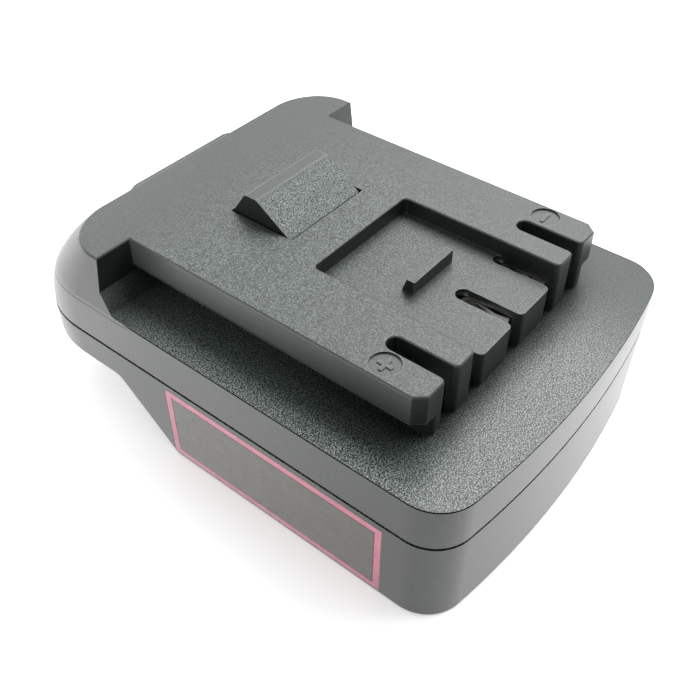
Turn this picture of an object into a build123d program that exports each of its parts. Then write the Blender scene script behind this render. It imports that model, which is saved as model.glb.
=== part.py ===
from build123d import *
import math
import os

# Tool battery adapter: a slide-on tool interface above, a slide-in pack receiver below.
# Millimetres. Origin at the bottom centre, +X to the minus side, +Y to the release button, +Z up.

os.makedirs("parts", exist_ok=True)

# Whole body
body_width = 78.0
body_length = 107.8
deck_height = 42.1
shelf_height = 30.75
seam_height = 20.8
seam_gap = 0.5
wall = 2.2
overrun = 2.0
bite = 0.3
edge_softness = 0.4

# Plan outline: bowed front, round corners, rear end that leans forward as it rises
front_bow_radius = 200.0
front_corner_radius = 8.4
lean_start_height = 17.8
rear_lean = 13.2
side_lean = 1.6
rear_corner_reach_low = 9.9
rear_corner_run_low = 15.2
rear_corner_reach_high = 12.0
rear_corner_run_high = 10.8

# Upper shell: rails and rear block
deck_skin = 2.0
shelf_skin = 2.2
rail_side_setback = 9.55
rail_lip_height = 6.35
rail_overhang = 3.55
rail_front_setback = 15.45
rail_corner_cut_x = 1.8
rail_corner_cut_y = 2.1
horn_rear_setback = 25.3
horn_ramp_rise = 3.95
horn_ramp_run = 3.25
neck_wall = 1.8

# Upper shell: pocket with its keying rib
pocket_side_land = 15.35
pocket_rear_land = 8.7
pocket_depth = 3.4
pocket_skin = 1.6
pocket_corner_radius = 1.0
rib_length = 12.5
rib_offset = 0.3
rib_front_setback = 33.65
rib_run = 2.6
rib_top_run = 1.7
rib_height = 2.85

# Upper shell: terminal slots and the chambers behind them
power_slot_inset = 8.4
power_slot_width = 3.25
signal_slot_width = 2.6
slot_rear_setback = 28.3
finger_corner_radius = 1.1
chamber_front_wall = 1.85
power_chamber_width = 6.4
signal_chamber_width = 5.2
core_width = 5.0

# Upper shell: polarity marks
mark_disc_radius = 2.85
mark_disc_depth = 0.35
mark_disc_inset = 3.45
mark_disc_setback = 25.2
mark_length = 3.0
mark_width = 0.7
mark_relief = 0.2

# Seam between the shells
tongue_inset = 1.2
tongue_thickness = 0.9
tongue_rise = 1.6
tongue_clearance = 0.15

# Latch: one moulding with tooth, carriage, apron and button
latch_travel = 5.0
latch_clearance = 0.35
tooth_width = 21.0
tooth_front_lead = 23.6
tooth_length = 14.85
tooth_front_gap = 0.5
tooth_front_drop = 0.7
tooth_ramp_run = 8.5
tooth_top_run = 2.9
tooth_top_height = 5.0
tooth_edge_radius = 1.0
carriage_width = 32.0
carriage_thickness = 2.4
carriage_margin = 2.4
carriage_rear_gap = 2.4
skirt_thickness = 1.8
skirt_depth = 6.0
skirt_length = 20.0
button_width = 32.0
button_top_height = 38.3
button_height = 9.3
button_proud = 1.75
button_corner_radius = 3.2
apron_thickness = 1.8
apron_margin = 2.0
apron_bottom_height = 21.4
guide_thickness = 1.8
guide_length = 12.0
guide_gap = 0.35
guide_depth = 9.0

# Latch springs
spring_offset = 10.0
spring_front_run = 2.1
spring_wire = 0.8
spring_coil_radius = 2.6
spring_turns = 6
spring_seat_height = 20.0
spring_seat_gap = 0.1
spring_cup_rise = 3.0
spring_cup_clearance = 0.5
spring_cup_wall = 1.4
spring_post_clearance = 0.5
spring_post_length = 2.4

# Lower shell: receiver for a slide-in pack
receiver_height = 13.1
receiver_skin = 2.2
receiver_side_margin = 7.0
receiver_lip_reach = 4.0
receiver_lip = 3.6
receiver_wall = 1.8
receiver_front_setback = 13.2
foot_length = 67.6
step_run = 14.2
step_radius = 3.0
heel_radius = 0.9
floor_skin = 2.2
side_chamber_end_margin = 3.0
catch_width = 20.0
catch_length = 6.0
catch_rise = 3.8
catch_setback = 70.0
catch_hood_wall = 1.4
rim_softness = 0.5

# Case screws, driven from below
case_screw_shank_radius = 1.45
case_screw_head_radius = 2.7
case_screw_head_height = 2.0
case_screw_bite_depth = 6.5
case_boss_radius = 3.9
case_boss_gap = 0.15
case_bore_clearance = 0.2
case_counterbore_clearance = 0.35
case_screw_front_inset = 9.5
case_screw_front_setback = 7.9
case_screw_rear_inset = 10.0
case_screw_rear_setback = 18.4
front_shoulder_height = 10.0
rear_shoulder_rise = 3.2
recess_share = 0.45

# Contact board
board_side_margin = 6.5
board_length = 28.5
board_thickness = 1.6
board_front_setback = 16.7
board_corner_radius = 2.0
board_height = 24.0
board_screw_inset_x = 3.0
board_screw_inset_y = 3.4
board_boss_radius = 2.5
board_screw_shank_radius = 1.0
board_screw_head_radius = 2.0
board_screw_head_height = 1.3
board_screw_bite_depth = 3.4
board_bore_clearance = 0.15

# Resistors on the board
resistor_length = 3.2
resistor_width = 1.6
resistor_height = 0.6
resistor_pitch = 4.0
resistor_count = 5
resistor_rear_inset = 4.5

# Contact clips, one spring strip each, bent like a tuning fork
clip_strip = 0.5
power_clip_width = 5.2
signal_clip_width = 4.0
clip_pinch = 1.1
clip_mouth_share = 0.72
clip_tip_gap = 0.35
clip_mouth_run = 2.9
clip_throat_run = 5.0
clip_back_run = 9.6
clip_bend_radius = 0.9
clip_top_gap = 0.2
clip_leg_height = 1.4
clip_leg_run = 1.6

# Blade holder and blades that reach into the pack
holder_width = 46.0
holder_length = 7.0
holder_bottom_height = 4.2
holder_gap = 0.15
spigot_width = 38.0
spigot_height = 6.6
spigot_bottom_height = 5.2
spigot_clearance = 0.2
spigot_length = 2.4
blade_thickness = 0.8
blade_height = 5.0
blade_bottom_height = 6.0
blade_reach = 11.0
blade_tip_run = 1.5
blade_tip_drop = 1.2
blade_offset = 14.0
tail_run = 3.2
tail_top_height = 13.6
tail_post_run = 2.0
holder_screw_offset = 18.6
holder_screw_shank_radius = 1.0
holder_screw_head_radius = 2.0
holder_screw_head_height = 1.4
holder_screw_depth = 5.0
holder_bore_clearance = 0.15

# Leads from the blade tails up to the board
power_lead_radius = 1.2
signal_lead_radius = 0.7
lead_rise_low = 4.4
lead_rise_high = 4.4
lead_pad_inset = 4.2
power_lead_shift = 3.0
lead_bend_share = 0.45

# Side label, a plain printed film set flush into the side
label_rear_margin = 0.2
label_height = 18.4
label_front_setback = 15.1
label_bottom_height = 0.65
label_thickness = 0.2

# Levels and places worked out from the sizes above
front_y = -body_length / 2
rear_y = body_length / 2
half_width = body_width / 2
rail_half = half_width - rail_side_setback
neck_half = rail_half - rail_overhang
rail_front_y = front_y + rail_front_setback
horn_front_y = rear_y - horn_rear_setback
lip_bottom_height = deck_height - rail_lip_height
pocket_floor_height = deck_height - pocket_depth
tooth_front_y = horn_front_y - tooth_front_lead
tooth_rear_y = tooth_front_y + tooth_length
pocket_width = 2 * (rail_half - pocket_side_land)
pocket_rear_y = tooth_front_y - pocket_rear_land
slot_rear_y = front_y + slot_rear_setback
power_slot_offset = rail_half - power_slot_inset
signal_slot_offset = (pocket_width - signal_slot_width) / 2
mark_disc_offset = rail_half - mark_disc_inset
receiver_width = body_width - 2 * receiver_side_margin
receiver_neck_width = receiver_width - 2 * receiver_lip_reach
receiver_front_y = front_y + receiver_front_setback
receiver_top_height = receiver_height + receiver_skin
foot_end_y = front_y + foot_length
step_end_y = foot_end_y + step_run
shelf_underside = shelf_height - shelf_skin
deck_underside = deck_height - deck_skin
pocket_underside = pocket_floor_height - pocket_skin
carriage_top = deck_underside - latch_clearance
carriage_bottom = carriage_top - carriage_thickness
board_width = body_width - 2 * board_side_margin
board_front_y = front_y + board_front_setback
board_top = board_height + board_thickness
spring_y = horn_front_y + spring_front_run
label_length = foot_length - label_front_setback - label_rear_margin
lower_top_height = seam_height - seam_gap


def block(x_span, y_span, z_span):
    """A box between three pairs of limits."""
    size = [high - low for low, high in (x_span, y_span, z_span)]
    centre = [(high + low) / 2 for low, high in (x_span, y_span, z_span)]
    return Pos(*centre) * Box(*size)


def rod(x, y, z_span, radius):
    """An upright cylinder between two heights."""
    low, high = z_span
    return Pos(x, y, (low + high) / 2) * Cylinder(radius, high - low)


def side_extrusion(points, x_span):
    """An outline of (y, z) points, pushed out along X between two limits."""
    low, high = x_span
    profile = Plane.YZ.offset(low) * make_face(Polyline(*points, close=True))
    return extrude(profile, high - low)


def rise_share(z, start):
    """How far height z has come from a start to the deck: none at the start, all at the deck."""
    return max(0, z - start) / (deck_height - start)


def rear_edge(z):
    """Y of the outer rear wall at height z, on a curve that steepens as it rises."""
    return rear_y - rear_lean * rise_share(z, lean_start_height) ** 2


def body_outline(z, inset=0):
    """Plan outline of the body at height z, drawn in by an inset, as a face."""
    share = rise_share(z, lean_start_height) ** 2
    half = half_width - side_lean * rise_share(z, shelf_height) - inset
    rear = rear_edge(z) - inset
    reach = rear_corner_reach_low + (rear_corner_reach_high - rear_corner_reach_low) * share - inset
    run = rear_corner_run_low + (rear_corner_run_high - rear_corner_run_low) * share - inset
    bow = front_bow_radius - inset
    corner = front_corner_radius - inset
    bow_centre_y = front_y + front_bow_radius
    corner_x = half - corner
    corner_y = bow_centre_y - math.sqrt((bow - corner) ** 2 - corner_x**2)
    touch_share = bow / (bow - corner)
    touch_x = corner_x * touch_share
    touch_y = bow_centre_y - (bow_centre_y - corner_y) * touch_share
    middle = math.atan2(touch_y - corner_y, touch_x - corner_x) / 2
    middle_x = corner_x + corner * math.cos(middle)
    middle_y = corner_y + corner * math.sin(middle)
    edges = [
        ThreePointArc((-touch_x, touch_y), (0, front_y + inset), (touch_x, touch_y)),
        ThreePointArc((touch_x, touch_y), (middle_x, middle_y), (half, corner_y)),
        Line((half, corner_y), (half, rear - run)),
        EllipticalCenterArc((half - reach, rear - run), reach, run, 0, arc_size=90),
        Line((half - reach, rear), (reach - half, rear)),
        EllipticalCenterArc((reach - half, rear - run), reach, run, 90, arc_size=90),
        Line((-half, rear - run), (-half, corner_y)),
        ThreePointArc((-half, corner_y), (-middle_x, middle_y), (-touch_x, touch_y)),
    ]
    return Pos(0, 0, z) * make_face(edges)


def body_loft(low, high, steps, inset=0):
    """The body between two heights, following its lean in even steps."""
    heights = [low + (high - low) * step / steps for step in range(steps + 1)]
    return loft([body_outline(z, inset) for z in heights])


def mirrored(part):
    """A part with its twin on the other side."""
    return part + mirror(part, about=Plane.YZ)


def terminal_slots():
    """Centre and width of each slot, and widths of its chamber and clip, from plus side to minus side."""
    return [
        (-power_slot_offset, power_slot_width, power_chamber_width, power_clip_width),
        (-signal_slot_offset, signal_slot_width, signal_chamber_width, signal_clip_width),
        (0, power_slot_width, signal_chamber_width, signal_clip_width),
        (signal_slot_offset, signal_slot_width, signal_chamber_width, signal_clip_width),
        (power_slot_offset, power_slot_width, power_chamber_width, power_clip_width),
    ]


def case_screw_places():
    """Centre and shoulder height of each case screw."""
    front = front_y + case_screw_front_setback
    rear = rear_y - case_screw_rear_setback
    front_x = half_width - case_screw_front_inset
    rear_x = half_width - case_screw_rear_inset
    rear_shoulder = receiver_height + rear_shoulder_rise
    places = []
    for side in (-1, 1):
        places.append((side * front_x, front, front_shoulder_height))
        places.append((side * rear_x, rear, rear_shoulder))
    return places


def board_screw_places():
    """Centre of each board screw."""
    x = board_width / 2 - board_screw_inset_x
    rows = (board_front_y + board_screw_inset_y, board_front_y + board_length - board_screw_inset_y)
    return [(side * x, row) for side in (-1, 1) for row in rows]


def rail_head():
    """The deck slab between the rail lips, with its neck, slots and pocket."""
    back = horn_front_y + wall
    above = deck_height + overrun
    slab = block((-rail_half, rail_half), (rail_front_y, back), (lip_bottom_height, above))
    corner = Polyline(
        (rail_half - rail_corner_cut_x, rail_front_y - overrun),
        (rail_half - rail_corner_cut_x, rail_front_y),
        (rail_half, rail_front_y + rail_corner_cut_y),
        (rail_half + overrun, rail_front_y + rail_corner_cut_y),
        (rail_half + overrun, rail_front_y - overrun),
        close=True,
    )
    cut = extrude(make_face(corner), rail_lip_height + 3 * overrun)
    cut = Pos(0, 0, lip_bottom_height - overrun) * cut
    neck_span = (shelf_height - bite, lip_bottom_height + bite)
    neck = block((-neck_half, neck_half), (rail_front_y, back), neck_span)
    head = slab - mirrored(cut) + neck
    for x, width, _, _ in terminal_slots():
        head -= slot_cut(x, width)
    return head - pocket_cut()


def rear_block():
    """The full-width block behind the rails, with a ramp at the foot of its front face."""
    block_loft = body_loft(shelf_height, deck_height + overrun, 4)
    foot_run = horn_ramp_run * overrun / horn_ramp_rise
    points = [
        (front_y - overrun, shelf_height - overrun),
        (horn_front_y - horn_ramp_run - foot_run, shelf_height - overrun),
        (horn_front_y, shelf_height + horn_ramp_rise),
        (horn_front_y, deck_height + 2 * overrun),
        (front_y - overrun, deck_height + 2 * overrun),
    ]
    return block_loft - side_extrusion(points, (-half_width - overrun, half_width + overrun))


def slot_cut(x, width):
    """A slot with a round rear end, open at the front and above the shelf."""
    span = (shelf_height - overrun, deck_height + 2 * overrun)
    run = slot_rear_y - width / 2
    straight = block((x - width / 2, x + width / 2), (rail_front_y - overrun, run), span)
    return straight + rod(x, run, span, width / 2)


def pocket_cut():
    """The shallow pocket in the deck, open at the terminal end."""
    half = pocket_width / 2
    span = (pocket_floor_height, deck_height + 2 * overrun)
    pocket = block((-half, half), (rail_front_y - overrun, pocket_rear_y), span)
    corners = pocket.edges().filter_by(Axis.Z).group_by(Axis.Y)[-1]
    return fillet(corners, pocket_corner_radius)


def keying_rib():
    """The low rib across the pocket floor, upright in front and sloped behind."""
    front = front_y + rib_front_setback
    back = front + rib_run
    base = pocket_floor_height - bite
    top = pocket_floor_height + rib_height
    points = [(front, base), (front, top), (front + rib_top_run, top), (back, pocket_floor_height), (back, base)]
    low = rib_offset - rib_length / 2
    return side_extrusion(points, (low, low + rib_length))


def polarity_disc(side, bars):
    """A shallow round recess with a mark standing in it."""
    y = front_y + mark_disc_setback
    floor = deck_height - mark_disc_depth
    disc = rod(side * mark_disc_offset, y, (floor, deck_height + overrun), mark_disc_radius)
    for size_x, size_y in bars:
        mark = Pos(0, 0, floor) * Box(size_x, size_y, 2 * mark_relief)
        disc -= Pos(side * mark_disc_offset, y, 0) * mark
    return disc


def latch_opening():
    """The hole in the deck that the tooth stands in."""
    half = tooth_width / 2 + latch_clearance
    y_span = (tooth_front_y - tooth_front_gap, tooth_rear_y + latch_clearance)
    return block((-half, half), y_span, (deck_underside - overrun, deck_height + overrun))


def button_window():
    """The hole in the rear wall that the button travels in."""
    half = button_width / 2 + latch_clearance
    low = button_top_height - button_height - latch_travel - latch_clearance
    high = button_top_height + latch_clearance
    return block((-half, half), (horn_front_y + wall, rear_y + overrun), (low, high))


def upper_hollow():
    """The room inside the upper shell: under the shelf, under the deck and in the rear block."""
    low_room = body_loft(seam_height, shelf_underside, 2, wall)
    low_room += Pos(0, 0, -overrun) * extrude(body_outline(seam_height, wall), overrun + bite)
    rear_room = body_loft(shelf_underside - bite, deck_underside, 3, wall)
    rear_room &= block((-half_width, half_width), (horn_front_y + wall, rear_y), (0, deck_height))
    inner = neck_half - neck_wall
    slot_back = slot_rear_y + neck_wall
    pocket_back = pocket_rear_y + neck_wall
    rear_limit = horn_front_y + wall + bite
    base = shelf_underside - bite
    main_room = block((-inner, inner), (pocket_back, rear_limit), (base, deck_underside))
    pocket_room = block((-inner, inner), (slot_back, pocket_back + bite), (base, pocket_underside))
    side_low = pocket_width / 2 + neck_wall
    side_room = block((side_low, inner), (slot_back, pocket_back + bite), (base, deck_underside))
    return low_room + rear_room + main_room + pocket_room + mirrored(side_room)


def terminal_chambers():
    """Rooms for the contact clips behind the slots, and two plain cores in the wide fingers."""
    chambers = Part()
    y_span = (rail_front_y + chamber_front_wall, slot_rear_y)
    z_span = (shelf_underside - bite, pocket_underside)
    for x, _, width, _ in terminal_slots():
        chambers += block((x - width / 2, x + width / 2), y_span, z_span)
    core_low = (signal_slot_offset - core_width) / 2
    return chambers + mirrored(block((core_low, core_low + core_width), y_span, z_span))


def seam_rebate():
    """Room at the upper shell's lower edge for the lower shell's tongue, clear on all sides."""
    low = seam_height - overrun
    rise = lower_top_height + tongue_rise + tongue_clearance - low
    outer = extrude(body_outline(0, tongue_inset - tongue_clearance), rise)
    inner = extrude(body_outline(0, tongue_inset + tongue_thickness + tongue_clearance), rise)
    return Pos(0, 0, low) * (outer - inner)


def upper_bosses():
    """Posts inside the upper shell that the case screws and board screws bite into."""
    posts = Part()
    post_bottom = lower_top_height + case_boss_gap
    for x, y, _ in case_screw_places():
        top = shelf_underside if y < 0 else deck_underside
        posts += rod(x, y, (post_bottom, top + bite), case_boss_radius)
    for x, y in board_screw_places():
        posts += rod(x, y, (board_top, shelf_underside + bite), board_boss_radius)
    return posts


def upper_bores():
    """Screw holes in the upper shell's posts."""
    bores = Part()
    case_span = (lower_top_height - overrun, lower_top_height + case_screw_bite_depth + bite)
    board_span = (board_top - bite, board_top + board_screw_bite_depth + bite)
    for x, y, _ in case_screw_places():
        bores += rod(x, y, case_span, case_screw_shank_radius)
    for x, y in board_screw_places():
        bores += rod(x, y, board_span, board_screw_shank_radius)
    return bores


def latch_guides():
    """Two ribs under the deck that keep the latch carriage straight."""
    low = carriage_width / 2 + guide_gap
    y_span = (spring_y - guide_length / 2, spring_y + guide_length / 2)
    z_span = (deck_underside - guide_depth, deck_underside + bite)
    return mirrored(block((low, low + guide_thickness), y_span, z_span))


def is_level(value, goal):
    """Whether a place lies at a wanted level, within the smallest size used here."""
    return abs(value - goal) < label_thickness / 2


def upper_outer():
    """The outer form of the upper shell with its rounded finger corners and softened edges."""
    trim = block((-half_width, half_width), (front_y, rear_y), (deck_height, deck_height + 2 * overrun))
    shell = body_loft(seam_height, shelf_height, 2) + rear_block() + rail_head() - trim
    inside = rail_half - rail_corner_cut_x - edge_softness
    fronts = [edge for edge in shell.edges().filter_by(Axis.Z) if is_level(edge.center().Y, rail_front_y)]
    posts = [edge for edge in fronts if abs(edge.center().X) < inside]
    shell = fillet(posts, finger_corner_radius)
    deck = [face for face in shell.faces().filter_by(Axis.Z) if is_level(face.center().Z, deck_height)]
    return fillet(deck[0].outer_wire().edges(), edge_softness)


def upper_shell():
    """The upper half of the case, with rails, slots, pocket and rear block."""
    shell = upper_outer() + keying_rib()
    shell -= polarity_disc(-1, [(mark_length, mark_width), (mark_width, mark_length)])
    shell -= polarity_disc(1, [(mark_length, mark_width)])
    shell -= upper_hollow() + terminal_chambers()
    shell += (upper_bosses() & body_loft(seam_height - seam_gap, deck_height, 4, wall / 2)) + latch_guides()
    shell -= seam_rebate() + upper_bores() + latch_opening() + button_window()
    return shell


def receiver_cut():
    """The channel that a pack slides into from the rear, narrower between its two lips."""
    half = receiver_width / 2
    neck = receiver_neck_width / 2
    y_span = (receiver_front_y, rear_y + overrun)
    room = block((-half, half), y_span, (receiver_lip, receiver_height))
    mouth = block((-neck, neck), y_span, (-overrun, receiver_lip + bite))
    return room + mouth


def rear_step_cut():
    """The clearance under the rear end, where the pack's own button sits."""
    points = [
        (foot_end_y, 0),
        (step_end_y, receiver_height),
        (rear_y + overrun, receiver_height),
        (rear_y + overrun, -overrun),
        (foot_end_y, -overrun),
    ]
    cut = side_extrusion(points, (-half_width - overrun, half_width + overrun))
    knee = cut.edges().filter_by(Axis.X).sort_by_distance((0, step_end_y, receiver_height))[0]
    return fillet(knee, step_radius)


def lower_hollow():
    """The room inside the lower shell above the receiver, in front of it and beside it."""
    top = lower_top_height + overrun
    main = Pos(0, 0, receiver_top_height) * extrude(body_outline(0, wall), top - receiver_top_height)
    full = Pos(0, 0, floor_skin) * extrude(body_outline(0, wall), top - floor_skin)
    split_y = receiver_front_y - receiver_wall
    front = full & block((-half_width, half_width), (front_y, split_y), (floor_skin, top))
    side_low = receiver_width / 2 + receiver_wall
    side_end = foot_end_y - side_chamber_end_margin
    side = full & block((side_low, half_width), (split_y, side_end), (floor_skin, top))
    return main + front + mirrored(side)


def seam_tongue():
    """The thin wall that stands up inside the upper shell's rebate."""
    low = lower_top_height - bite
    high = lower_top_height + tongue_rise
    outer = Pos(0, 0, low) * extrude(body_outline(0, tongue_inset), high - low)
    inner = Pos(0, 0, low) * extrude(body_outline(0, tongue_inset + tongue_thickness), high - low)
    return outer - inner


def spring_cups():
    """Round cups that hold the lower ends of the latch springs."""
    inner = spring_coil_radius + spring_wire / 2 + spring_cup_clearance
    span = (receiver_top_height - bite, spring_seat_height + spring_cup_rise)
    cups = Part()
    for side in (-1, 1):
        x = side * spring_offset
        cup = rod(x, spring_y, span, inner + spring_cup_wall)
        cups += cup - rod(x, spring_y, (spring_seat_height, span[1]), inner)
    return cups


def catch_hood():
    """Outer block and inner pocket of the catch that the pack's latch springs into."""
    y = front_y + catch_setback
    half = catch_width / 2
    top = receiver_height + catch_rise
    hood = block(
        (-half - catch_hood_wall, half + catch_hood_wall),
        (y - catch_hood_wall, y + catch_length + catch_hood_wall),
        (receiver_height + bite, top + catch_hood_wall),
    )
    pocket = block((-half, half), (y, y + catch_length), (receiver_height - bite, top))
    return hood, pocket


def lower_bosses():
    """Posts inside the lower shell that the case screws pass through."""
    posts = Part()
    for x, y, _ in case_screw_places():
        base = bite if y < 0 else receiver_height + bite
        posts += rod(x, y, (base, lower_top_height), case_boss_radius)
    return posts


def lower_bores():
    """Counterbores for the screw heads and clearance holes for their shanks."""
    bores = Part()
    for x, y, shoulder in case_screw_places():
        bores += rod(x, y, (-overrun, shoulder), case_screw_head_radius + case_counterbore_clearance)
        bores += rod(x, y, (shoulder - bite, seam_height), case_screw_shank_radius + case_bore_clearance)
    return bores


def blade_window():
    """The opening in the receiver's front wall that the blade holder's spigot fills."""
    half = spigot_width / 2 + spigot_clearance
    low = spigot_bottom_height - spigot_clearance
    high = spigot_bottom_height + spigot_height + spigot_clearance
    return block((-half, half), (receiver_front_y - receiver_wall - bite, receiver_front_y + bite), (low, high))


def holder_screw_holes():
    """Holes in the receiver's ceiling for the blade holder's screws."""
    y = receiver_front_y + holder_gap + holder_length / 2
    z_span = (receiver_height - bite, receiver_top_height + bite)
    radius = holder_screw_shank_radius + holder_bore_clearance
    return mirrored(rod(holder_screw_offset, y, z_span, radius))


def label_recess():
    """The shallow seat of the side label."""
    y = front_y + label_front_setback
    z_span = (label_bottom_height, label_bottom_height + label_height)
    return block((-half_width - overrun, label_thickness - half_width), (y, y + label_length), z_span)


def lower_outer():
    """The outer form of the lower shell, stepped up at the rear, with softened lower edges."""
    shell = extrude(body_outline(0), lower_top_height) - rear_step_cut()
    heel = [face for face in shell.faces().filter_by(Axis.Z) if is_level(face.center().Z, receiver_height)]
    shell = fillet(heel[0].outer_wire().edges().filter_by(Axis.X, reverse=True), heel_radius)
    foot = shell.faces().sort_by(Axis.Z)[0]
    return fillet(foot.outer_wire().edges().filter_by(Axis.X, reverse=True), rim_softness)


def lower_shell():
    """The lower half of the case, with the receiver and the screw posts."""
    shell = lower_outer() - receiver_cut() - lower_hollow()
    hood, pocket = catch_hood()
    shell += seam_tongue() + spring_cups() + hood
    shell += lower_bosses() & extrude(body_outline(0, wall / 2), seam_height)
    shell -= lower_bores() + blade_window() + holder_screw_holes() + label_recess() + pocket
    return shell


def tooth():
    """The ramped tooth that a tool's catch rides over, flat on top."""
    base = carriage_top - bite
    top = deck_height + tooth_top_height
    top_front_y = tooth_front_y + tooth_ramp_run
    points = [
        (tooth_front_y, base),
        (tooth_front_y, deck_height - tooth_front_drop),
        (top_front_y, top),
        (top_front_y + tooth_top_run, top),
        (tooth_rear_y, deck_height),
        (tooth_rear_y, base),
    ]
    body = side_extrusion(points, (-tooth_width / 2, tooth_width / 2))
    edges = body.edges().filter_by(Axis.X)
    rounded = [edges.sort_by_distance((0, y, z))[0] for y, z in points[1:4]]
    return fillet(rounded, tooth_edge_radius)


def wall_slice(inset, thickness, z_span, half):
    """A plate that follows the rear wall, a given inset inside it, with an even thickness along Y."""
    low, high = z_span
    middle = (low + high) / 2
    outer = [(rear_edge(z) - inset, z) for z in (low, middle, high)]
    inner = [(y - thickness, z) for y, z in outer]
    edges = [
        ThreePointArc(*outer),
        Line(outer[2], inner[2]),
        ThreePointArc(*reversed(inner)),
        Line(inner[0], outer[0]),
    ]
    return extrude(Plane.YZ.offset(-half) * make_face(edges), 2 * half)


def button():
    """The finger pad of the latch, standing a little proud of the rear wall."""
    z_span = (button_top_height - button_height, button_top_height)
    depth = button_proud + wall + latch_clearance + bite
    pad = wall_slice(-button_proud, depth, z_span, button_width / 2)
    corners = pad.edges().filter_by(Axis.X, reverse=True).filter_by(GeomType.CIRCLE).group_by(Axis.Y)[-1]
    return fillet(corners, button_corner_radius)


def release_latch():
    """Tooth, carriage, apron and button as one moulding that sinks when pressed."""
    half = carriage_width / 2
    front = tooth_front_y - carriage_margin
    rear = rear_edge(carriage_top) - wall - carriage_rear_gap
    plate = block((-half, half), (front, rear), (carriage_bottom, carriage_top))
    apron_inset = wall + latch_clearance
    apron_half = button_width / 2 + apron_margin
    under = carriage_bottom + bite
    apron = wall_slice(apron_inset, apron_thickness, (apron_bottom_height, under), apron_half)
    bridge_y = (rear - apron_thickness, rear_edge(carriage_bottom) - apron_inset - apron_thickness / 2)
    bridge = block((-half, half), bridge_y, (carriage_bottom - carriage_thickness / 2, under))
    skirt_y = (spring_y - skirt_length / 2, min(rear, spring_y + skirt_length / 2))
    skirt = block((half - skirt_thickness, half), skirt_y, (carriage_bottom - skirt_depth, under))
    post_radius = spring_coil_radius - spring_wire / 2 - spring_post_clearance
    post = rod(spring_offset, spring_y, (carriage_bottom - spring_post_length, under), post_radius)
    return plate + tooth() + mirrored(skirt + post) + bridge + apron + button()


def helix_arcs(radius, pitch, turns, start_z):
    """Arcs along a helix, two for every quarter turn, each tangent to the next."""
    steps = turns * 4
    quarter = math.pi / 2
    points = []
    directions = []
    for step in range(steps + 1):
        angle = step * quarter
        across = radius * math.cos(angle)
        along = radius * math.sin(angle)
        points.append(Vector(across, along, start_z + pitch * step / 4))
        tangent = Vector(-along, across, pitch / (2 * math.pi))
        directions.append(tangent.normalized())
    arcs = []
    for start, end, leave, arrive in zip(points, points[1:], directions, directions[1:]):
        chord = end - start
        both = leave + arrive
        spread = 2 * (1 - leave.dot(arrive))
        along = chord.dot(both)
        reach = (math.sqrt(along**2 + spread * chord.dot(chord)) - along) / spread
        joint = (start + leave * reach + end - arrive * reach) / 2
        arcs.append(TangentArc(start, joint, tangent=leave))
        arcs.append(TangentArc(joint, end, tangent=arcs[-1] % 1))
    return arcs


def latch_spring(side):
    """One coil spring between its cup and the carriage."""
    low = spring_seat_height + spring_wire / 2 + spring_seat_gap
    high = carriage_bottom - spring_wire / 2 - spring_seat_gap
    pitch = (high - low) / spring_turns
    path = Wire(helix_arcs(spring_coil_radius, pitch, spring_turns, low))
    section = Plane(path @ 0, z_dir=path % 0) * Circle(spring_wire / 2)
    coil = sweep(section, path=path)
    count = spring_turns * 24
    marks = [path @ (index / count) for index in range(count + 1)]
    pairs = [(first, second) for first in range(count) for second in range(first + 12, count + 1)]
    gap = min((marks[first] - marks[second]).length for first, second in pairs) - spring_wire
    print("spring", side, "least gap between turns", round(gap, 3))
    return Pos(side * spring_offset, spring_y, 0) * coil


def contact_clip(x, width):
    """A spring strip bent into a fork: two leaves that pinch a tool's blade, joined at the back."""
    half = (width - clip_strip) / 2
    tip_y = rail_front_y + chamber_front_wall + clip_tip_gap
    pinch_y = tip_y + clip_mouth_run
    back_y = tip_y + clip_back_run
    pinch = (clip_pinch + clip_strip) / 2
    mouth = half * clip_mouth_share
    left = [(-mouth, tip_y), (-pinch, pinch_y), (-half, pinch_y + clip_throat_run), (-half, back_y)]
    right = [(-px, py) for px, py in reversed(left)]
    line = FilletPolyline(*left, *right, radius=clip_bend_radius)
    height = pocket_underside - clip_top_gap - board_top - clip_leg_height
    section = Plane(line @ 0, x_dir=(0, 0, 1), z_dir=line % 0) * Rectangle(height, clip_strip)
    fork = Pos(0, 0, board_top + clip_leg_height + height / 2) * sweep(section, path=line)
    y_span = (back_y - clip_strip / 2 - clip_leg_run, back_y - clip_strip / 2 + bite)
    leg = block(
        (half - clip_strip / 2, half + clip_strip / 2), (y_span[0], y_span[0] + clip_leg_run),
        (board_top, board_top + clip_leg_height + bite)
    )
    return Pos(x, 0, 0) * (fork + mirrored(leg))


def contact_board():
    """The circuit board that carries the clips."""
    y_span = (board_front_y, board_front_y + board_length)
    board = block((-board_width / 2, board_width / 2), y_span, (board_height, board_top))
    board = fillet(board.edges().filter_by(Axis.Z), board_corner_radius)
    bore = board_screw_shank_radius + board_bore_clearance
    for x, y in board_screw_places():
        board -= rod(x, y, (board_height - bite, board_top + bite), bore)
    return board


def board_resistors():
    """A row of small chip resistors behind the clips."""
    y = board_front_y + board_length - resistor_rear_inset
    chips = []
    for index in range(resistor_count):
        x = (index - (resistor_count - 1) / 2) * resistor_pitch
        chip = Box(resistor_width, resistor_length, resistor_height)
        chips.append(Pos(x, y, board_top + resistor_height / 2) * chip)
    return Compound(chips)


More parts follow.
